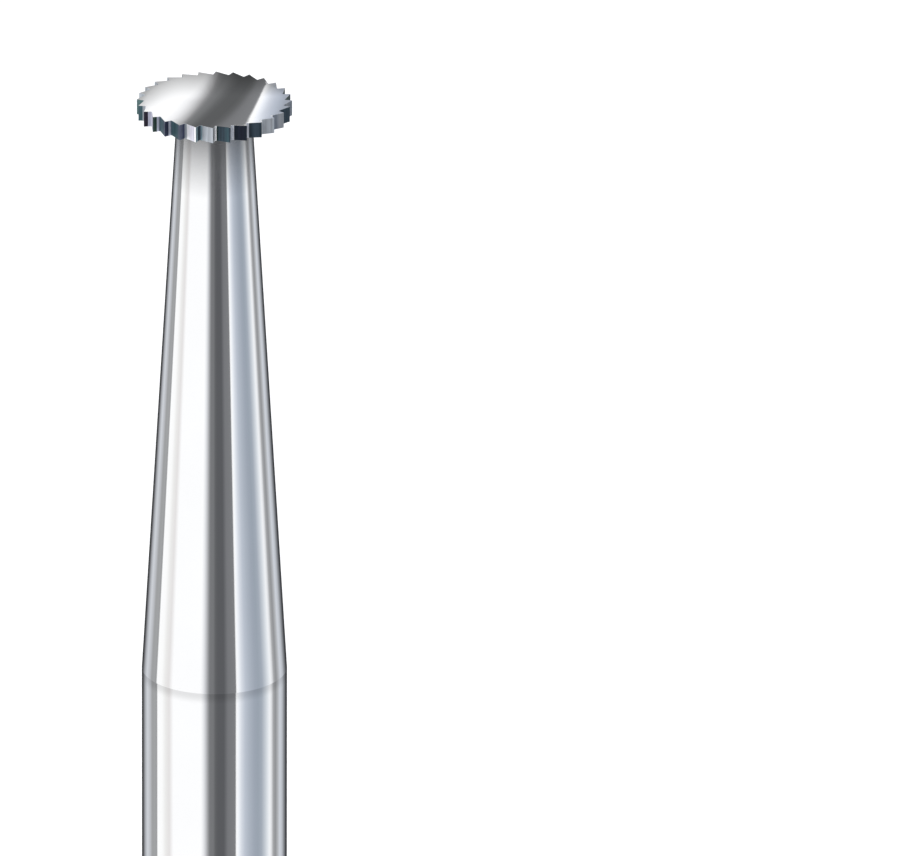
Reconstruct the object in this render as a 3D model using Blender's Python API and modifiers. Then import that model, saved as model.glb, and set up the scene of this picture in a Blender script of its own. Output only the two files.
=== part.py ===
"""Wheel bur for a straight dental handpiece: one steel rod, turned, ground and milled, with no joint."""

import math

import bmesh
import bpy
from mathutils import Vector

MM = 0.001

# The straight shank is what the handpiece's collet grips. Its end lies on the origin, and the bur points up +Z.
OVERALL_LENGTH = 44.5 * MM
SHANK_DIAMETER = 2.35 * MM
END_CHAMFER = 0.2 * MM

# The neck is a cone that thins from the shank to the head.
NECK_LENGTH = 9.6 * MM
NECK_TIP_DIAMETER = 1.22 * MM

# The head is a thin wheel with a slightly hollow face. A small fillet keeps the neck from cracking under it.
HEAD_DIAMETER = 2.5 * MM
HEAD_THICKNESS = 0.26 * MM
HEAD_FILLET = 0.06 * MM
FACE_HOLLOW = 0.033 * MM

# Saw teeth round the rim, milled straight across it. Their rake faces lean back from the cut.
TOOTH_COUNT = 28
TOOTH_DEPTH = 0.12 * MM
RAKE_ANGLE = math.radians(-18)
ROOT_RADIUS = 0.015 * MM
FIRST_TOOTH_ANGLE = math.radians(-1)

# Stock that the milling takes off the rim, and how far its cutter reaches past the work
RIM_STOCK = 0.05 * MM
CUTTER_REACH = 0.3 * MM

# How finely the round stretches are divided, and the bend past which an edge is shaded sharp
TURNED_STEPS = 112
FACE_STEPS = 6
HEAD_FILLET_STEPS = 6
ROOT_STEPS = 4
SHARP_ANGLE = math.radians(30)
WELD_DISTANCE = 0.00001 * MM

STEEL_COLOUR = (0.62, 0.63, 0.65, 1.0)
STEEL_ROUGHNESS = 0.18


def clear_scene():
    for obj in list(bpy.data.objects):
        bpy.data.objects.remove(obj, do_unlink=True)


def new_collection(name):
    collection = bpy.data.collections.new(name)
    bpy.context.scene.collection.children.link(collection)
    return collection


def steel():
    """Bright hardened steel."""
    material = bpy.data.materials.new("bur_steel")
    material.use_nodes = True
    shader = material.node_tree.nodes["Principled BSDF"]
    shader.inputs["Base Color"].default_value = STEEL_COLOUR
    shader.inputs["Metallic"].default_value = 1.0
    shader.inputs["Roughness"].default_value = STEEL_ROUGHNESS
    return material


def evaluated_mesh(obj):
    """The object's shape with its modifiers, as a mesh of its own."""
    bpy.context.view_layer.update()
    evaluated = obj.evaluated_get(bpy.context.evaluated_depsgraph_get())
    return bpy.data.meshes.new_from_object(evaluated)


def fillet(corner, before, after, radius, steps):
    """Points of the arc of this radius that rounds a corner between two neighbouring points."""
    to_before = (before - corner).normalized()
    to_after = (after - corner).normalized()
    half_angle = to_before.angle(to_after) / 2
    centre = corner + (to_before + to_after).normalized() * radius / math.sin(half_angle)
    start = corner + to_before * radius / math.tan(half_angle) - centre
    turn = math.copysign(math.pi - 2 * half_angle, to_before.angle_signed(to_after))
    arc = []
    for step in range(steps + 1):
        angle = turn * step / steps
        swung_x = start.x * math.cos(angle) + start.y * math.sin(angle)
        swung_y = start.y * math.cos(angle) - start.x * math.sin(angle)
        arc.append(centre + Vector((swung_x, swung_y)))
    return arc


def face_profile(rim_radius):
    """The hollow face as (radius, height), from its middle out to the rim of the blank."""
    points = []
    for step in range(FACE_STEPS + 1):
        radius = rim_radius * step / FACE_STEPS
        depth = FACE_HOLLOW * (1 - (radius / (HEAD_DIAMETER / 2)) ** 2)
        points.append(Vector((radius, OVERALL_LENGTH - depth)))
    return points


def blank_profile():
    """Half section of the turned blank as (radius, height), from the middle of its face to that of its end."""
    shank_radius = SHANK_DIAMETER / 2
    rim_radius = HEAD_DIAMETER / 2 + RIM_STOCK
    underside = OVERALL_LENGTH - HEAD_THICKNESS
    rim_foot = Vector((rim_radius, underside))
    neck_tip = Vector((NECK_TIP_DIAMETER / 2, underside))
    neck_base = Vector((shank_radius, underside - NECK_LENGTH))
    return [
        *face_profile(rim_radius),
        rim_foot,
        *fillet(neck_tip, rim_foot, neck_base, HEAD_FILLET, HEAD_FILLET_STEPS),
        neck_base,
        Vector((shank_radius, END_CHAMFER)),
        Vector((shank_radius - END_CHAMFER, 0)),
        Vector((0, 0)),
    ]


def turned_blank(collection):
    """The rod as it leaves the lathe, with a plain disc where the teeth will be."""
    profile = blank_profile()
    mesh = bpy.data.meshes.new("blank")
    edges = [(i, i + 1) for i in range(len(profile) - 1)]
    mesh.from_pydata([(point.x, 0, point.y) for point in profile], edges, [])
    blank = bpy.data.objects.new("bur", mesh)
    collection.objects.link(blank)

    lathe = blank.modifiers.new("lathe", "SCREW")
    lathe.axis = "Z"
    lathe.steps = TURNED_STEPS
    lathe.render_steps = TURNED_STEPS
    lathe.use_merge_vertices = True
    lathe.merge_threshold = WELD_DISTANCE
    return blank


def polar(radius, angle):
    return Vector((radius * math.cos(angle), radius * math.sin(angle)))


def toothed_outline():
    """The rim seen from above, anticlockwise: each tooth's tip, then the round root of the gullet ahead of it."""
    tip_radius = HEAD_DIAMETER / 2
    root_radius = tip_radius - TOOTH_DEPTH
    pitch = math.tau / TOOTH_COUNT
    lead = TOOTH_DEPTH * math.tan(-RAKE_ANGLE) / root_radius
    outline = []
    for tooth in range(TOOTH_COUNT):
        angle = FIRST_TOOTH_ANGLE + tooth * pitch
        tip = polar(tip_radius, angle)
        next_tip = polar(tip_radius, angle + pitch)
        root = polar(root_radius, angle + lead)
        outline += [tip, *fillet(root, tip, next_tip, ROOT_RADIUS, ROOT_STEPS)]
    return outline


def add_loop(curve, outline):
    spline = curve.splines.new("POLY")
    spline.points.add(len(outline) - 1)
    for point, place in zip(spline.points, outline):
        point.co = (place.x, place.y, 0, 1)
    spline.use_cyclic_u = True


def gullet_cutter(collection):
    """A ring taller than the wheel. Its inside is the toothed outline, so it cuts all the gullets at once."""
    outer_radius = HEAD_DIAMETER / 2 + RIM_STOCK + CUTTER_REACH
    curve = bpy.data.curves.new("gullet_ring", "CURVE")
    curve.dimensions = "2D"
    curve.fill_mode = "BOTH"
    curve.extrude = HEAD_THICKNESS / 2 + CUTTER_REACH
    add_loop(curve, [polar(outer_radius, math.tau * i / TURNED_STEPS) for i in range(TURNED_STEPS)])
    add_loop(curve, toothed_outline())
    ring = bpy.data.objects.new("gullet_ring", curve)
    ring.location.z = OVERALL_LENGTH - HEAD_THICKNESS / 2
    collection.objects.link(ring)

    mesh = evaluated_mesh(ring)
    bm = bmesh.new()
    bm.from_mesh(mesh)
    bmesh.ops.remove_doubles(bm, verts=bm.verts, dist=WELD_DISTANCE)
    bmesh.ops.recalc_face_normals(bm, faces=bm.faces)
    bm.to_mesh(mesh)
    bm.free()

    cutter = bpy.data.objects.new("gullet_cutter", mesh)
    cutter.matrix_world = ring.matrix_world
    cutter.hide_render = True
    cutter.display_type = "WIRE"
    collection.objects.link(cutter)
    bpy.data.objects.remove(ring)
    return cutter


def mill_teeth(blank, cutter):
    """Cuts the gullets, then keeps the cut shape, smooth on its turned faces and sharp along its edges."""
    milling = blank.modifiers.new("milling", "BOOLEAN")
    milling.operation = "DIFFERENCE"
    milling.solver = "EXACT"
    milling.object = cutter
    mesh = evaluated_mesh(blank)
    mesh.name = "bur"
    mesh.shade_smooth()
    mesh.set_sharp_from_angle(angle=SHARP_ANGLE)
    blank.modifiers.clear()
    blank.data = mesh


def main():
    clear_scene()
    bur_collection = new_collection("Dental bur")
    cutters = new_collection("Cutters")
    bur = turned_blank(bur_collection)
    mill_teeth(bur, gullet_cutter(cutters))
    bur.data.materials.clear()
    bur.data.materials.append(steel())


main()
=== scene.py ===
import math

import bmesh
import bpy
from mathutils import Matrix, Vector


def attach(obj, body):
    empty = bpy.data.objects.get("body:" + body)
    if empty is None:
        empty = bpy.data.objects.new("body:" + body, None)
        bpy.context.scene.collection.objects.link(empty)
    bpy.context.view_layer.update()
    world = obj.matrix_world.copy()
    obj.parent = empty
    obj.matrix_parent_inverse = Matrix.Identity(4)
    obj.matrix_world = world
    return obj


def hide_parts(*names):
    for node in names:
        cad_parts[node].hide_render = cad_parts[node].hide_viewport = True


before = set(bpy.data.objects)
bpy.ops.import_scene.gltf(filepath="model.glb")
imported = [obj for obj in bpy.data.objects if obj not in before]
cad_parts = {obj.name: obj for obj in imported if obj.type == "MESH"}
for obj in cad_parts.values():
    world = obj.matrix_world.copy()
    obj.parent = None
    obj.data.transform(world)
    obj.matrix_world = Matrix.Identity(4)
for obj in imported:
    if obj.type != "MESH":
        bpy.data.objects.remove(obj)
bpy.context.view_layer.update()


# Shank and neck.
# One rod of hardened steel. The shank is ground to the round size that a handpiece holds, and the neck is
# turned out of the same rod as a long cone. The crisp line round the bur is only the edge where the two meet.

MM = 0.001
LENGTH = 44.5 * MM
SHANK_RADIUS = 1.175 * MM
END_CHAMFER = 0.2 * MM
WHEEL_THICKNESS = 0.26 * MM
UNDERSIDE_HEIGHT = LENGTH - WHEEL_THICKNESS
SEAM_HEIGHT = UNDERSIDE_HEIGHT - 9.6 * MM
NECK_TIP_RADIUS = 0.61 * MM
NECK_FILLET = 0.06 * MM
FILLET_STEPS = 6
UNDERSIDE_RADIUS = 0.98 * MM

# The turned surfaces have as many points to each tooth as its outline has, so that the two can be welded
TEETH = 28
STEPS_TO_A_TOOTH = 12
STEPS = TEETH * STEPS_TO_A_TOOTH
WELD = 0.0001 * MM

SHANK, NECK, UNDERSIDE, FACE, FLANK = range(5)


def draw_line(mesh, places):
    """Draws an open line of edges through these places and returns its points."""
    verts = [mesh.verts.new(place) for place in places]
    for pair in zip(verts, verts[1:]):
        mesh.edges.new(pair)
    return verts


def round_corner(mesh, corner, radius, segments):
    """Rounds one corner of a line to this radius."""
    ways = [edge.other_vert(corner).co - corner.co for edge in corner.link_edges]
    reach = radius / math.tan(ways[0].angle(ways[1]) / 2)
    bmesh.ops.bevel(
        mesh, geom=[corner], offset=reach, offset_type="OFFSET", segments=segments, profile=0.5,
        affect="VERTICES", clamp_overlap=False, material=-1,
    )


def turn_on_lathe(mesh, geom):
    """Spins a half section round the upright axis, once round and closed."""
    bmesh.ops.spin(
        mesh, geom=geom, cent=(0, 0, 0), axis=(0, 0, 1), dvec=(0, 0, 0), angle=math.tau,
        steps=STEPS, use_merge=True, use_duplicate=False,
    )


bur = bmesh.new()
section = draw_line(bur, [
    (0, 0, 0),
    (SHANK_RADIUS - END_CHAMFER, 0, 0),
    (SHANK_RADIUS, 0, END_CHAMFER),
    (SHANK_RADIUS, 0, SEAM_HEIGHT),
    (NECK_TIP_RADIUS, 0, UNDERSIDE_HEIGHT),
    (UNDERSIDE_RADIUS, 0, UNDERSIDE_HEIGHT),
])
round_corner(bur, section[4], NECK_FILLET, FILLET_STEPS)
turn_on_lathe(bur, bur.verts[:] + bur.edges[:])
bmesh.ops.remove_doubles(bur, verts=bur.verts, dist=WELD)
for face in bur.faces:
    height = face.calc_center_median().z
    if height < SEAM_HEIGHT:
        face.material_index = SHANK
    elif height < UNDERSIDE_HEIGHT - 2 * NECK_FILLET:
        face.material_index = NECK
    else:
        face.material_index = UNDERSIDE

# The head.
# A thin wheel at the tip of the same rod. Its face is turned slightly hollow, and the teeth are milled
# straight across the rim as saw teeth: a long flank, a short rake face that leans back, and a round root.

TIP_RADIUS = 1.25 * MM
TOOTH_DEPTH = 0.12 * MM
ROOT_RADIUS = TIP_RADIUS - TOOTH_DEPTH
ROOT_ROUND = 0.015 * MM
ROOT_STEPS = 4
RAKE_LEAN = math.radians(18)
PITCH = math.tau / TEETH
LEAD = TOOTH_DEPTH * math.tan(RAKE_LEAN) / ROOT_RADIUS
FIRST_TOOTH = math.radians(-1)
# Where the painted reflection tones on a rake face and on a flank change, as shares of the way from root to
# tip
RAKE_STATIONS = (0.38,)
FLANK_STATIONS = (0.13, 0.33, 0.52, 0.7, 0.87)
FACE_HOLLOW = 0.033 * MM
FACE_RINGS = 9
FACE_RADIUS = 1.1 * MM
EDGE_BREAK = 0.003 * MM


def face_height(radius):
    """The height of the hollow face this far from the axis."""
    return LENGTH - FACE_HOLLOW * (1 - (radius / TIP_RADIUS) ** 2)


def on_circle(radius, angle):
    return Vector((radius * math.cos(angle), radius * math.sin(angle), LENGTH))


def ends_of(edges):
    """The points at the ends of these edges, each once."""
    return list(dict.fromkeys(v for edge in edges for v in edge.verts))


tooth = draw_line(
    bur, [on_circle(TIP_RADIUS, 0), on_circle(ROOT_RADIUS, LEAD), on_circle(TIP_RADIUS, PITCH)]
)
round_corner(bur, tooth[1], ROOT_ROUND, ROOT_STEPS)
flank_line, rake_line = sorted((e for e in bur.edges if e.is_wire), key=lambda e: -e.calc_length())[:2]
for line, stations in ((rake_line, RAKE_STATIONS), (flank_line, FLANK_STATIONS)):
    root, tip = sorted((v.co.copy() for v in line.verts), key=lambda place: place.xy.length)
    cuts = bmesh.ops.subdivide_edges(bur, edges=[line], cuts=len(stations))["geom_inner"]
    inner = sorted((v for v in cuts if isinstance(v, bmesh.types.BMVert)), key=lambda v: v.co.xy.length)
    for v, station in zip(inner, stations):
        v.co = root.lerp(tip, station)
wires = [edge for edge in bur.edges if edge.is_wire]
bmesh.ops.spin(
    bur, geom=wires + ends_of(wires), cent=(0, 0, 0), axis=(0, 0, 1), dvec=(0, 0, 0),
    angle=math.tau - PITCH, steps=TEETH - 1, use_merge=False, use_duplicate=True,
)
bmesh.ops.remove_doubles(bur, verts=ends_of(edge for edge in bur.edges if edge.is_wire), dist=WELD)

outline = [edge for edge in bur.edges if edge.is_wire]
walls = bmesh.ops.extrude_edge_only(bur, edges=outline)["geom"]
lowered = [v for v in walls if isinstance(v, bmesh.types.BMVert)]
bmesh.ops.translate(bur, verts=lowered, vec=(0, 0, -WHEEL_THICKNESS))
for face in walls:
    if isinstance(face, bmesh.types.BMFace):
        face.material_index = FLANK
for v in ends_of(outline):
    v.co.z = face_height(v.co.xy.length)


def ring_inward(rim, radius, share, surface):
    """Adds a ring of faces from this rim straight towards the axis, a share of the way to the radius."""
    made = bmesh.ops.extrude_edge_only(bur, edges=rim)["geom"]
    for part in made:
        if isinstance(part, bmesh.types.BMVert):
            reach = part.co.xy.length
            inner = reach + (radius - reach) * share
            part.co.xy = part.co.xy * (inner / reach)
            if surface == FACE:
                part.co.z = face_height(inner)
        elif isinstance(part, bmesh.types.BMFace):
            part.material_index = surface
    return [part for part in made if isinstance(part, bmesh.types.BMEdge) and part.is_boundary]


rim = ring_inward(outline, FACE_RADIUS, 0.5, FACE)
for ring in range(FACE_RINGS, -1, -1):
    rim = ring_inward(rim, FACE_RADIUS * ring / FACE_RINGS, 1.0, FACE)
rim = [edge for edge in walls if isinstance(edge, bmesh.types.BMEdge) and edge.is_boundary]
for radius in (FACE_RADIUS, UNDERSIDE_RADIUS):
    rim = ring_inward(rim, radius, 1.0, UNDERSIDE)
# The last ring's points go onto those of the turned underside, counted from just before +X
around = sorted(ends_of(rim), key=lambda v: (math.atan2(v.co.y, v.co.x) + PITCH / 100) % math.tau)
for number, v in enumerate(around):
    v.co.xy = on_circle(UNDERSIDE_RADIUS, number * math.tau / STEPS).xy
bmesh.ops.remove_doubles(bur, verts=bur.verts, dist=WELD)
bmesh.ops.recalc_face_normals(bur, faces=bur.faces)

# The milling cutter left the flanks unpolished. Each tooth face gets its own painted tone, from silver to
# teal
# and navy: painted reflections and painted shade of the tent around it, not a colour of the steel.

PAINTED_REFLECTIONS = {
    "white": (254, 254, 255),
    "pale": (216, 215, 228),
    "mist": (196, 200, 208),
    "lilac": (193, 195, 211),
    "silver": (168, 174, 181),
    "ash": (146, 149, 153),
    "stone": (116, 122, 132),
    "fog": (128, 150, 160),
    "sea": (87, 113, 114),
    "slate": (76, 92, 106),
    "lagoon": (74, 100, 108),
    "storm": (48, 62, 72),
    "teal": (58, 84, 92),
    "dusk": (92, 98, 116),
    "moss": (52, 72, 66),
    "pine": (32, 50, 52),
    "ink": (22, 32, 44),
    "denim": (58, 63, 86),
    "navy": (28, 30, 48),
    "plum": (50, 45, 58),
}
# Painted reflection tones, anticlockwise from +X, for each tooth: its rake face from tip to root, the round
# root, and the flank in six steps up to the next tip
TINTS = """
stone  ash    ash     storm  moss   moss   moss   storm  storm
ash    ash    ash     moss   moss   storm  storm  moss   moss
ash    ash    silver  moss   pine   storm  storm  teal   teal
silver ash    mist    slate  ink    ink    storm  slate  slate
slate  denim  mist    teal   teal   slate  stone  stone  stone
denim  plum   lilac   silver ash    ash    ash    ash    stone
sea    teal   pale    ink    navy   denim  storm  slate  slate
stone  denim  ash     white  pale   pale   silver silver silver
ash    silver silver  slate  navy   ink    ink    storm  denim
ash    silver silver  silver silver ash    ash    ash    ash
silver silver silver  ash    ash    ash    stone  stone  stone
silver silver silver  slate  teal   teal   slate  slate  slate
silver silver silver  stone  stone  slate  slate  slate  slate
silver silver silver  sea    sea    sea    sea    sea    sea
sea    sea    fog     sea    sea    sea    sea    teal   teal
lagoon silver mist    mist   sea    sea    sea    sea    sea
plum   lilac  lilac   pale   pale   pale   pale   mist   lilac
moss   lilac  slate   lagoon lagoon lagoon slate  slate  dusk
denim  lilac  slate   teal   teal   teal   teal   slate  dusk
dusk   denim  stone   silver white  pale   pale   pale   white
fog    storm  slate   fog    silver silver silver silver silver
ash    white  white   pine   storm  storm  storm  teal   storm
silver silver mist    mist   ink    ink    navy   ink    ink
pale   pale   pale    mist   storm  storm  slate  storm  storm
white  white  white   white  silver ash    silver ash    silver
white  white  white   white  stone  stone  ash    ash    ash
ash    ash    ash     stone  storm  storm  storm  storm  storm
ash    ash    ash     stone  stone  ash    stone  stone  slate
"""


def plain(tone):
    """A screen colour from 0 to 255 as the linear numbers that Blender uses, by the sRGB curve."""
    return [c / (255 * 12.92) if c < 10.3 else ((c / 255 + 0.055) / 1.055) ** 2.4 for c in tone]


# Places in a tooth's line of tints, and the ones on the flank whose tints run into each other
RAKE_TIP, RAKE_FOOT, ROOT, FLANK_FOOT = range(4)
BLENDED = range(FLANK_FOOT + 1, FLANK_FOOT + 5)
# The facets of the round root are narrower than this
ROOT_FACET = 0.01 * MM

tooth_tones = [[Vector(plain(PAINTED_REFLECTIONS[word])) for word in line.split()] for line in TINTS.strip().splitlines()]
# The painted reflection tone of each tooth face goes into a colour attribute, corner by corner
painted_reflection = bur.loops.layers.float_color.new("painted_reflection")
for face in bur.faces:
    if face.material_index != FLANK:
        continue
    heart = face.calc_center_median()
    turned = math.atan2(heart.y, heart.x) % math.tau
    number = int(turned // PITCH)
    tones = tooth_tones[number]
    climb = (heart.xy.length - ROOT_RADIUS) / TOOTH_DEPTH
    on_rake = (turned - number * PITCH) < LEAD
    if face.calc_area() < ROOT_FACET * WHEEL_THICKNESS:
        cell = ROOT
    elif on_rake:
        cell = RAKE_TIP if climb > RAKE_STATIONS[0] else RAKE_FOOT
    else:
        cell = FLANK_FOOT + sum(climb > station for station in FLANK_STATIONS)
    for loop in face.loops:
        tone = tones[cell]
        out_of_heart = loop.vert.co.xy.length > heart.xy.length
        beside = cell + 1 if out_of_heart else cell - 1
        if cell in BLENDED and beside in BLENDED:
            tone = (tone + tones[beside]) / 2
        loop[painted_reflection] = (*tone, 1)

# The crisp edges round the teeth are broken a little, and those of the shank's chamfer are left as turned
CRISP_ANGLE = math.radians(40)
SHARP_ANGLE = math.radians(35)

crisp = [e for e in bur.edges if len(e.link_faces) == 2 and e.calc_face_angle(0) > CRISP_ANGLE]
crisp = [e for e in crisp if e.verts[0].co.z > UNDERSIDE_HEIGHT - NECK_FILLET / 2]
crisp = [e for e in crisp if e.verts[0].co.xy.length > FACE_RADIUS]
broken = bmesh.ops.bevel(
    bur, geom=crisp, offset=EDGE_BREAK, offset_type="OFFSET", segments=2, profile=0.5, affect="EDGES",
    clamp_overlap=True, material=-1,
)["faces"]
bmesh.ops.rotate(bur, verts=bur.verts, cent=(0, 0, 0), matrix=Matrix.Rotation(FIRST_TOOTH, 3, "Z"))
for face in bur.faces:
    face.smooth = True
edge_faces = set(broken)
for edge in bur.edges:
    faces = edge.link_faces
    meets_break = len({face in edge_faces for face in faces}) == 2
    steep = edge.calc_face_angle(0) > SHARP_ANGLE
    surfaces = {face.material_index for face in faces}
    if meets_break or steep or surfaces == {SHANK, NECK}:
        edge.smooth = False


def put_in_order(parts, place):
    """Sorts verts or faces by where they lie, so that they come in the same order on each run."""
    in_order = sorted(parts, key=lambda part: [round(c / MM, 4) for c in place(part)])
    ranks = {part: rank for rank, part in enumerate(in_order)}
    parts.sort(key=ranks.get)


put_in_order(bur.verts, lambda v: v.co)
put_in_order(bur.faces, lambda face: face.calc_center_median())
mesh = bpy.data.meshes.new("bur_mesh")
bur.to_mesh(mesh)
bur.free()
dressed = bpy.data.objects.new("toothed_bur", mesh)
bpy.context.scene.collection.objects.link(dressed)


def add(tree, kind, feeds=None, **settings):
    """A shader node with these settings. feeds gives sockets a value, or links them to an output."""
    made = tree.nodes.new("ShaderNode" + kind)
    for name, value in settings.items():
        setattr(made, name, value)
    for socket, value in (feeds or {}).items():
        if isinstance(value, bpy.types.NodeSocket):
            tree.links.new(value, made.inputs[socket])
        else:
            made.inputs[socket].default_value = value
    return made


def reckon(tree, operation, *values):
    """A Math node's result."""
    return add(tree, "Math", dict(enumerate(values)), operation=operation).outputs[0]


def run(tree, value, start, end, low=0.0, high=1.0, easing="LINEAR"):
    """Carries a value that goes from start to end over to low to high."""
    feeds = {"Value": value, "From Min": start, "From Max": end, "To Min": low, "To Max": high}
    return add(tree, "MapRange", feeds, clamp=True, interpolation_type=easing).outputs["Result"]


def from_noise(tree, noise, low, high):
    """Carries a noise, whose values lie mostly between 0.3 and 0.7, over to low to high."""
    return run(tree, noise, 0.3, 0.7, low, high)


def mix_colours(tree, share, first, second, blend_type="MIX"):
    """A colour between two others, or their product."""
    feeds = {0: share, 6: first, 7: second}
    return add(tree, "Mix", feeds, data_type="RGBA", blend_type=blend_type).outputs[2]


def mix_values(tree, share, first, second):
    return add(tree, "Mix", {0: share, 2: first, 3: second}).outputs[0]


def new_group(name, inputs, outputs):
    """An empty node group with sockets of these names and kinds, as (group, its inputs, its outputs)."""
    group = bpy.data.node_groups.new(name, "ShaderNodeTree")
    for label, kind, value in inputs:
        socket = group.interface.new_socket(label, in_out="INPUT", socket_type=kind)
        socket.default_value = value
    for label, kind in outputs:
        group.interface.new_socket(label, in_out="OUTPUT", socket_type=kind)
    return group, group.nodes.new("NodeGroupInput").outputs, group.nodes.new("NodeGroupOutput").inputs


# Fine marks of the lathe or the grinding wheel: rings round the axis, seen on every turned surface, and the
# faint unevenness of a hand-polished one. Sizes are in millimetres.
marks, given, wanted = new_group(
    "turning_marks",
    [("Rings per mm", "NodeSocketFloat", 20.0), ("Patches per mm", "NodeSocketFloat", 0.8)],
    [("Rings", "NodeSocketFloat"), ("Patches", "NodeSocketFloat")],
)
place = add(marks, "TexCoord").outputs["Object"]
in_mm = add(marks, "Mapping", {"Vector": place, "Scale": (1000, 1000, 1000)}).outputs[0]
x, y, z = add(marks, "SeparateXYZ", {0: in_mm}).outputs
radius_squared = reckon(marks, "ADD", reckon(marks, "MULTIPLY", x, x), reckon(marks, "MULTIPLY", y, y))
radius = reckon(marks, "SQRT", radius_squared)
feed = add(marks, "CombineXYZ", {0: radius, 1: z, 2: 0.0}).outputs[0]
rings = add(marks, "TexNoise", {
    "Vector": feed, "Scale": given["Rings per mm"], "Detail": 3.0, "Roughness": 0.6,
})
patches = add(marks, "TexNoise", {"Vector": in_mm, "Scale": given["Patches per mm"], "Detail": 2.0})
marks.links.new(rings.outputs[0], wanted["Rings"])
marks.links.new(patches.outputs[0], wanted["Patches"])

# Painted shadow over bright steel: where it lies, the colour is dark and no longer metal.
painted_shade_group, given, wanted = new_group(
    "painted_shade_on_steel",
    [
        ("Steel", "NodeSocketColor", (0.85, 0.85, 0.86, 1)),
        ("Shadow tone", "NodeSocketColor", (0.12, 0.12, 0.12, 1)),
        ("Shadow share", "NodeSocketFloat", 0.0),
    ],
    [("Colour", "NodeSocketColor"), ("Metal", "NodeSocketFloat")],
)
mixed = mix_colours(painted_shade_group, given["Shadow share"], given["Steel"], given["Shadow tone"])
unshadowed = reckon(painted_shade_group, "SUBTRACT", 1.0, given["Shadow share"])
steel_light = add(painted_shade_group, "RGBToBW", {0: given["Steel"]}).outputs[0]
mixed_light = add(painted_shade_group, "RGBToBW", {0: mixed}).outputs[0]
metal = reckon(painted_shade_group, "DIVIDE", reckon(painted_shade_group, "MULTIPLY", unshadowed, steel_light), mixed_light)
painted_shade_group.links.new(mixed, wanted["Colour"])
painted_shade_group.links.new(metal, wanted["Metal"])

# Streaks of the milling cutter, straight down each flank.
streaks, given, wanted = new_group(
    "milling_streaks",
    [("Streaks per mm", "NodeSocketFloat", 30.0)],
    [("Streaks", "NodeSocketFloat"), ("Drift", "NodeSocketFloat")],
)
place = add(streaks, "TexCoord").outputs["Object"]
upright = add(streaks, "Mapping", {"Vector": place, "Scale": (1000, 1000, 25)}).outputs[0]
fine = add(streaks, "TexNoise", {
    "Vector": upright, "Scale": given["Streaks per mm"], "Detail": 4.0, "Roughness": 0.7,
})
broad = reckon(streaks, "MULTIPLY", given["Streaks per mm"], 0.2)
drift = add(streaks, "TexNoise", {"Vector": upright, "Scale": broad, "Detail": 1.0})
streaks.links.new(fine.outputs[0], wanted["Streaks"])
streaks.links.new(drift.outputs[0], wanted["Drift"])


def new_finish(name):
    """A material with its own node tree, as (material, tree, shader)."""
    finish = bpy.data.materials.new(name)
    finish.use_nodes = True
    shader = finish.node_tree.nodes["Principled BSDF"]
    shader.inputs["Metallic"].default_value = 1.0
    return finish, finish.node_tree, shader


def height_in_mm(tree):
    place = add(tree, "TexCoord").outputs["Object"]
    return reckon(tree, "MULTIPLY", add(tree, "SeparateXYZ", {0: place}).outputs[2], 1000.0)


def tinted(tree, colour, factor):
    """The colour times a factor that changes over the surface."""
    grey = add(tree, "CombineColor", {0: factor, 1: factor, 2: factor}).outputs[0]
    return mix_colours(tree, 1.0, colour, grey, "MULTIPLY")


BRIGHT_STEEL = (0.845, 0.85, 0.86, 1)
# The dark tone of the painted shadow under the head
PAINTED_SHADOW_TONE = (0.118, 0.12, 0.124, 1)


def turned_finish(name, roughness, rings_per_mm, depth_mm, shade=None, painted_shadow=None):
    """Bright turned steel. One argument darkens it with painted shade and the other lays a painted shadow on
    it, dark and less metallic, each by the height.
    """
    finish, tree, shader = new_finish(name)
    mark = add(tree, "Group", node_tree=marks)
    mark.inputs["Rings per mm"].default_value = rings_per_mm
    factor = from_noise(tree, mark.outputs["Patches"], 0.985, 1.0)
    if shade:
        factor = reckon(tree, "MULTIPLY", factor, shade(tree))
    colour = tinted(tree, BRIGHT_STEEL, factor)
    if painted_shadow:
        # The painted shadow mixes the colour towards a dark tone and lowers the metal
        shadowed = add(tree, "Group", {"Steel": colour, "Shadow share": painted_shadow(tree)}, node_tree=painted_shade_group)
        shadowed.inputs["Shadow tone"].default_value = PAINTED_SHADOW_TONE
        tree.links.new(shadowed.outputs["Metal"], shader.inputs["Metallic"])
        colour = shadowed.outputs["Colour"]
    tree.links.new(colour, shader.inputs["Base Color"])
    spread = from_noise(tree, mark.outputs["Rings"], roughness * 0.85, roughness * 1.15)
    tree.links.new(spread, shader.inputs["Roughness"])
    bump = add(tree, "Bump", {"Height": mark.outputs["Rings"], "Strength": 1.0, "Distance": depth_mm * MM})
    tree.links.new(bump.outputs[0], shader.inputs["Normal"])
    return finish


def painted_seam_shade(tree):
    """Painted shade: a narrow darker band just below the seam, darkest at the edge and fading downward."""
    seam = SEAM_HEIGHT / MM
    return run(tree, height_in_mm(tree), seam - 0.2, seam - 0.03, 1.0, 0.79, "SMOOTHSTEP")


def painted_head_shadow(tree):
    """Painted shadow of the head: the last millimetre of the neck under it turns dark and less metallic."""
    underside = UNDERSIDE_HEIGHT / MM
    return run(tree, height_in_mm(tree), underside - 1.19, underside - 0.02, 0.0, 0.914)


flank, tree, shader = new_finish("milled_flank")
streak = add(tree, "Group", node_tree=streaks)
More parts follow.
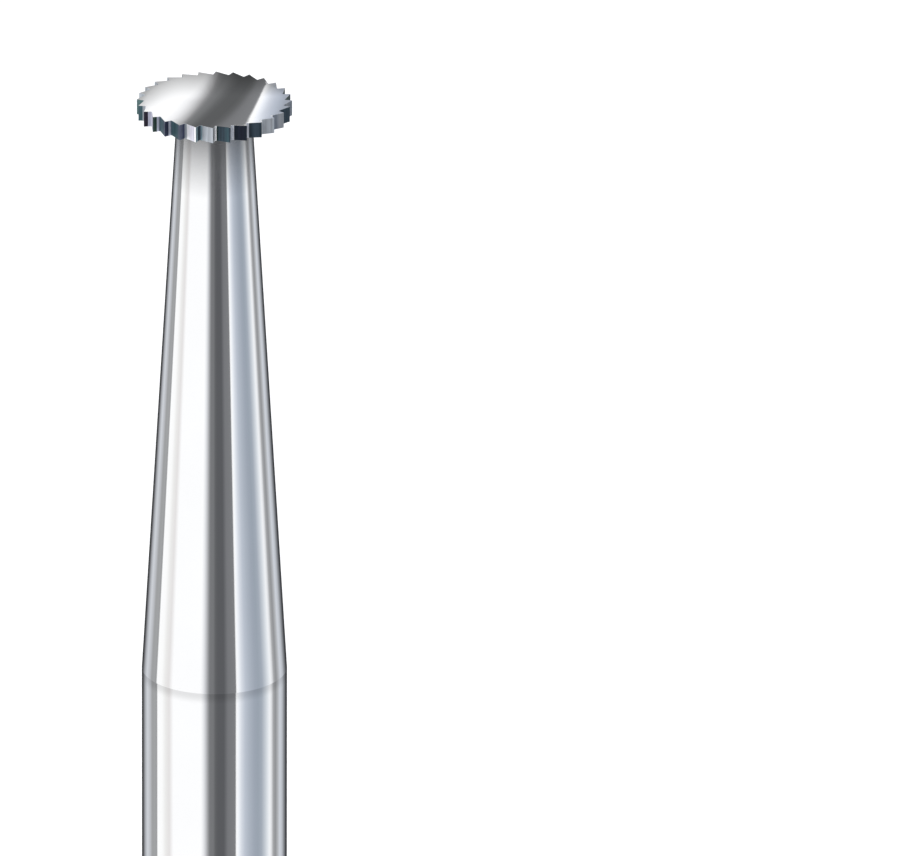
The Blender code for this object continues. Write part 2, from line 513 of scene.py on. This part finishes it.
# The flank's colour is the painted reflection and shade tone of each tooth face, streaked by the milling
tint = add(tree, "Attribute", attribute_name="painted_reflection").outputs["Color"]
factor = from_noise(tree, streak.outputs["Streaks"], 0.72, 1.3)
tree.links.new(tinted(tree, tint, factor), shader.inputs["Base Color"])
shader.inputs["Metallic"].default_value = 0.45
shader.inputs["Specular IOR Level"].default_value = 0.25
tree.links.new(from_noise(tree, streak.outputs["Drift"], 0.3, 0.45), shader.inputs["Roughness"])
bump = add(tree, "Bump", {"Height": streak.outputs["Streaks"], "Strength": 1.0, "Distance": 0.0006 * MM})
tree.links.new(bump.outputs[0], shader.inputs["Normal"])

# The shank's colour carries painted shade in a narrow band below the seam
mesh.materials.append(turned_finish("ground_shank", 0.06, 25.0, 0.00001, shade=painted_seam_shade))
# The neck carries the painted shadow of the head just under it
mesh.materials.append(turned_finish("ground_neck", 0.06, 25.0, 0.00001, painted_shadow=painted_head_shadow))
mesh.materials.append(turned_finish("turned_underside", 0.22, 30.0, 0.0002))
mesh.materials.append(turned_finish("turned_face", 0.016, 18.0, 0.000002))
mesh.materials.append(flank)

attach(dressed, "root")
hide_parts("bur")


# The floor.
# A wide white table. The steel looks past it into the tent, and the camera sees it as white with a soft
# shadow.

floor_mesh = bpy.data.meshes.new("floor_mesh")
sheet = bmesh.new()
bmesh.ops.create_circle(sheet, cap_ends=True, radius=3.0, segments=96)
sheet.to_mesh(floor_mesh)
sheet.free()
floor = bpy.data.objects.new("floor", floor_mesh)
bpy.context.scene.collection.objects.link(floor)
floor.visible_glossy = False
paper, tree, shader = new_finish("white_paper")
shader.inputs["Metallic"].default_value = 0.0
shader.inputs["Base Color"].default_value = (0.9, 0.9, 0.9, 1)
shader.inputs["Roughness"].default_value = 1.0
shader.inputs["Specular IOR Level"].default_value = 0.0
shader.inputs["Emission Strength"].default_value = 1.0
seen = add(tree, "LightPath").outputs["Is Camera Ray"]
lift = mix_colours(tree, seen, (0, 0, 0, 1), (0.21, 0.21, 0.21, 1))
tree.links.new(lift, shader.inputs["Emission Color"])
floor_mesh.materials.append(paper)


# The light.
# A white tent with upright cards and black flags round the table, so that the round steel shows long clear
# bands, and a ring of narrow slanting flags higher up that the hollow face of the wheel looks into.

tent = bpy.data.worlds.new("light_tent")
bpy.context.scene.world = tent
tent.use_nodes = True
tree = tent.node_tree
tree.nodes.clear()

# Cards round the table: degrees from the side that faces -Y towards +X, and the tone that steel shows
CARDS_LEFT = [
    (-180, (44, 45, 47)), (-161, (52, 53, 55)), (-154, (96, 97, 100)), (-149, (138, 139, 143)),
    (-143, (174, 177, 182)), (-134, (206, 209, 214)), (-124, (186, 188, 192)), (-118, (158, 159, 160)),
    (-110, (162, 163, 164)), (-104.6, (152, 153, 154)), (-103.2, (255, 255, 255)), (-92, (252, 252, 251)),
    (-84, (236, 235, 233)), (-77, (229, 226, 225)), (-69, (255, 255, 255)), (-21.5, (255, 255, 255)),
    (-17.3, (232, 233, 235)), (-13.8, (199, 200, 203)), (-10.3, (154, 155, 157)), (-7.5, (120, 121, 123)),
    (-1.5, (117, 118, 120)), (0, (106, 107, 109)),
]
CARDS_RIGHT = [
    (0, (106, 107, 109)), (2, (96, 97, 99)), (6, (90, 91, 94)), (15, (90, 91, 94)), (21.5, (118, 119, 122)),
    (33.8, (125, 126, 128)), (35, (255, 255, 255)), (38.8, (243, 246, 250)), (43.8, (214, 219, 227)),
    (50, (188, 195, 206)), (57.4, (172, 180, 191)), (66.7, (158, 166, 178)), (73.7, (154, 163, 174)),
    (81, (163, 171, 182)), (89, (199, 205, 212)), (95.5, (228, 232, 236)), (99.5, (243, 244, 246)),
    (103.8, (221, 222, 224)), (108, (166, 167, 169)), (114.3, (144, 145, 147)), (121, (175, 177, 180)),
    (128.3, (206, 210, 217)), (137, (186, 190, 196)), (144, (143, 146, 151)), (151.5, (104, 106, 110)),
    (157.5, (60, 61, 64)), (180, (40, 41, 43)),
]
# One slanting flag: how far across it, and the tone that the face shows
SLANTING_FLAG = [
    (-3.5, (206, 209, 214)), (-2.2, (255, 255, 255)), (-0.32, (255, 255, 255)), (-0.2, (240, 240, 241)),
    (-0.1, (212, 212, 213)), (0.0, (172, 172, 173)), (0.06, (140, 140, 141)), (0.12, (121, 122, 123)),
    (0.2, (115, 116, 117)), (0.3, (100, 101, 102)), (0.4, (91, 92, 93)), (0.6, (90, 91, 92)),
    (0.7, (98, 99, 100)), (0.8, (117, 118, 120)), (0.9, (122, 123, 125)), (0.99, (125, 126, 128)),
    (1.01, (255, 255, 255)), (1.06, (252, 253, 255)), (1.1, (241, 244, 250)), (1.14, (227, 232, 240)),
    (1.2, (207, 212, 222)), (1.27, (192, 198, 209)), (1.33, (181, 188, 200)), (1.4, (169, 176, 188)),
    (1.5, (158, 164, 175)), (1.7, (154, 160, 170)), (2.4, (190, 194, 202)), (4.0, (206, 209, 214)),
]
# How much light the flags and the tent between them give, by the height up the flag
FLAG_HEIGHT = [
    (-4, 1.0), (0.18, 1.0), (0.31, 0.92), (0.48, 0.78), (0.65, 0.65), (0.83, 0.5), (0.91, 0.43),
    (1.05, 0.38), (1.5, 0.42), (2.5, 0.85), (4, 1.0),
]


def card_row(value, stops, low, high):
    """A colour ramp over low to high with a stop for each card."""
    made = add(tree, "ValToRGB", {0: run(tree, value, low, high)})
    ramp = made.color_ramp
    while len(ramp.elements) > 1:
        ramp.elements.remove(ramp.elements[-1])
    for number, (at, tone) in enumerate(stops):
        position = (at - low) / (high - low)
        stop = ramp.elements[0] if number == 0 else ramp.elements.new(position)
        stop.position = position
        stop.color = (*(plain(tone) if isinstance(tone, tuple) else (tone, tone, tone)), 1)
    return made.outputs[0]


way = add(tree, "TexCoord").outputs["Generated"]
x, y, z = add(tree, "SeparateXYZ", {0: way}).outputs
turn = reckon(tree, "DEGREES", reckon(tree, "ARCTAN2", x, reckon(tree, "MULTIPLY", y, -1.0)))
rise = reckon(tree, "DEGREES", reckon(tree, "ARCSINE", z))
level = reckon(tree, "SQRT", reckon(tree, "SUBTRACT", 1.0, reckon(tree, "MULTIPLY", z, z)))
to_the_right = reckon(tree, "GREATER_THAN", turn, 0.0)
low_cards = mix_colours(
    tree, to_the_right, card_row(turn, CARDS_LEFT, -180, 0), card_row(turn, CARDS_RIGHT, 0, 180)
)

# Flags stand all round the table, and one more hangs overhead. Across and up are in half widths of the face
# that reflects them. First come the degrees from one flag to the next, and the height of a flag's middle.
FLAG_PITCH = 15.0
FLAG_RISE = 21.5
# Degrees of the tent that half of the face reflects: up, and across at a flag's middle. Across, it is more
# with each half width up to a limit, and more again with each degree above the steep height.
HALF_FACE_UP = 5.956
HALF_FACE_ACROSS = 2.13
WIDER_HIGHER_UP = 0.313
WIDENING_LIMIT = 1.2
STEEP_RISE = 28.6
WIDER_WHEN_STEEP = 0.09
# The flag overhead takes over between these heights. There the tent's radius is 9.5 half widths of the face.
OVERHEAD_FROM = 66.0
OVERHEAD_FULL = 74.0
HALF_FACES_OVERHEAD = -9.5
# Past this many half widths up or down, a flag's edges go on upright
FLAG_REACH = 1.6

aside = reckon(tree, "WRAP", reckon(tree, "SUBTRACT", turn, 180.0), FLAG_PITCH / 2, -FLAG_PITCH / 2)
up_the_side = reckon(tree, "DIVIDE", reckon(tree, "SUBTRACT", rise, FLAG_RISE), HALF_FACE_UP)
low_part = reckon(tree, "MINIMUM", up_the_side, WIDENING_LIMIT)
spread = reckon(tree, "MULTIPLY_ADD", low_part, WIDER_HIGHER_UP, HALF_FACE_ACROSS)
steeper = reckon(tree, "MAXIMUM", reckon(tree, "SUBTRACT", rise, STEEP_RISE), 0.0)
spread = reckon(tree, "MULTIPLY_ADD", steeper, WIDER_WHEN_STEEP, spread)
across_the_side = reckon(tree, "DIVIDE", reckon(tree, "MULTIPLY", aside, level), spread)
overhead = run(tree, rise, OVERHEAD_FROM, OVERHEAD_FULL, 0.0, 1.0, "SMOOTHSTEP")
up = mix_values(tree, overhead, up_the_side, reckon(tree, "MULTIPLY", y, HALF_FACES_OVERHEAD))
across = mix_values(tree, overhead, across_the_side, reckon(tree, "MULTIPLY", x, HALF_FACES_OVERHEAD))

# A flag's left edge is a shallow curve. Its right edge is straight and bends in near the top.
held = run(tree, up, -FLAG_REACH, FLAG_REACH, -FLAG_REACH, FLAG_REACH)
left_edge = reckon(tree, "MULTIPLY_ADD", held, reckon(tree, "MULTIPLY_ADD", held, -0.065, 0.24), -0.182)
bend = run(tree, held, 0.45, 1.0, 0.0, 0.55)
bend = reckon(tree, "MULTIPLY", reckon(tree, "MULTIPLY", bend, bend), 0.45)
right_edge = reckon(tree, "SUBTRACT", reckon(tree, "MULTIPLY_ADD", held, 0.17, 0.553), bend)

# The way across from the left edge to the right one, with the tones bowed in between
past_left = reckon(tree, "SUBTRACT", across, left_edge)
share = reckon(tree, "DIVIDE", past_left, reckon(tree, "SUBTRACT", right_edge, left_edge))
both_ways = reckon(tree, "MULTIPLY", share, reckon(tree, "SUBTRACT", 1.0, share))
inside = reckon(tree, "MAXIMUM", 0.0, both_ways)
bow = reckon(tree, "MULTIPLY", inside, reckon(tree, "MULTIPLY", held, 0.7))
bowed = reckon(tree, "SUBTRACT", share, bow)

# Higher up, the soft left border of a flag gets narrower
high_up = reckon(tree, "MULTIPLY", reckon(tree, "MAXIMUM", held, 0.0), 0.87)
short = reckon(tree, "MAXIMUM", reckon(tree, "SUBTRACT", 0.12, share), 0.0)
leaning = reckon(tree, "SUBTRACT", bowed, reckon(tree, "MULTIPLY", high_up, short))
flags = card_row(leaning, SLANTING_FLAG, -3.5, 4.0)

# A dimmer band crosses the tent above the flags' middle, and it starts sooner far to the left of a flag and
# at its top right
far_out = reckon(tree, "MAXIMUM", 0.0, reckon(tree, "SUBTRACT", -0.34, across))
far_left = reckon(tree, "MULTIPLY", reckon(tree, "MULTIPLY", far_out, far_out), 2.4)
top_right = reckon(tree, "MAXIMUM", 0.0, reckon(tree, "MULTIPLY_ADD", held, 1.2, -0.1))
far_right = reckon(tree, "MULTIPLY", top_right, run(tree, share, 0.98, 1.1))
dimmed = card_row(reckon(tree, "ADD", up, reckon(tree, "ADD", far_left, far_right)), FLAG_HEIGHT, -4, 8)
high_cards = mix_colours(tree, 1.0, flags, dimmed, "MULTIPLY")

# The low cards end and the flags begin between these heights
blend = run(tree, rise, 8.0, 13.0, 0.0, 1.0, "SMOOTHSTEP")
tent_colour = mix_colours(tree, blend, low_cards, high_cards)
shine = add(tree, "Background", {"Color": tent_colour, "Strength": 1.18})
backdrop = add(tree, "Background", {"Color": (1, 1, 1, 1), "Strength": 1.0})
camera_sees = add(tree, "LightPath").outputs["Is Camera Ray"]
both = add(tree, "MixShader", {0: camera_sees, 1: shine.outputs[0], 2: backdrop.outputs[0]})
add(tree, "OutputWorld", {0: both.outputs[0]})

# One broad lamp from the front left gives the bur a soft shadow. The steel doesn't mirror it.
sun = bpy.data.lights.new("broad_lamp", "SUN")
sun.energy = 1.6
sun.angle = math.radians(20)
lamp = bpy.data.objects.new("broad_lamp", sun)
lamp.rotation_euler = (math.radians(45), 0, math.radians(-40))
lamp.visible_glossy = False
bpy.context.scene.collection.objects.link(lamp)

bpy.context.scene.view_settings.view_transform = "Standard"


# The camera.
# It stands far off with a very long lens, looks 22 degrees down on the wheel, and turns a little to the
# right about its own upright, so that the shank stays upright in the picture.

FRAME_WIDTH = 14.48 * MM
LOOK_DOWN = math.radians(22)
# How far the middle of the picture lies from the middle of the wheel's face
MIDDLE_RIGHT = 3.79 * MM
MIDDLE_DOWN = 5.281 * MM

forward = Vector((0, math.cos(LOOK_DOWN), -math.sin(LOOK_DOWN)))
upward = Vector((0, math.sin(LOOK_DOWN), math.cos(LOOK_DOWN)))
lens = bpy.data.cameras.new("camera")
lens.lens = 1500
lens.sensor_width = 36
distance = FRAME_WIDTH * lens.lens / lens.sensor_width
turn_right = math.atan2(MIDDLE_RIGHT, distance)
view_way = math.cos(turn_right) * forward + Vector((math.sin(turn_right), 0, 0))
lens.clip_start = 0.05
lens.clip_end = 20
camera = bpy.data.objects.new("camera", lens)
camera.location = Vector((0, 0, LENGTH)) - MIDDLE_DOWN * upward - distance / math.cos(turn_right) * forward
camera.rotation_euler = Matrix((view_way.cross(upward), upward, -view_way)).transposed().to_euler()
bpy.context.scene.collection.objects.link(camera)
bpy.context.scene.camera = camera
